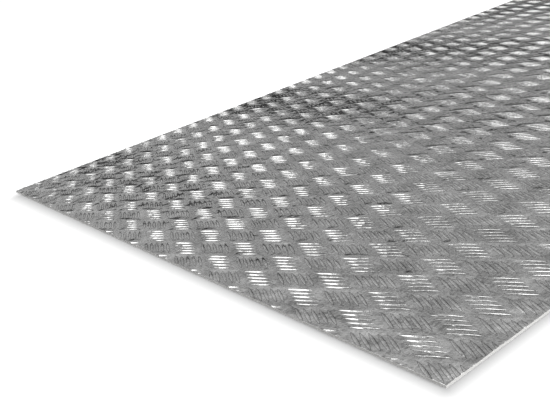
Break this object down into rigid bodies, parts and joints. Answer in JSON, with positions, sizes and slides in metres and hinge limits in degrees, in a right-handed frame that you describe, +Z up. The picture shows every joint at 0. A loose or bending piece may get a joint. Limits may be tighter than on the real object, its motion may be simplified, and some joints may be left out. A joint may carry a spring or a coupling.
{
  "type": "aluminium checker plate sheet",
  "caption": "Thin flat rectangular aluminium sheet, plain underneath, with a raised anti-slip tread of short parallel bars in a basket weave on top. Raw stock for floors, steps and cladding.",
  "frame": {"origin": "middle of the sheet's underside, on the surface it lies on", "axes": "+X across the sheet's width, +Y along its length, +Z up out of the tread side"},
  "size_m": [0.6, 1.2, 0.0015],
  "materials": {
    "mill_aluminium": "bright mill finish, rolled, slightly satin"
  },
  "bodies": {
    "root": {"checker_sheet": "mill_aluminium"}
  },
  "joints": []
}
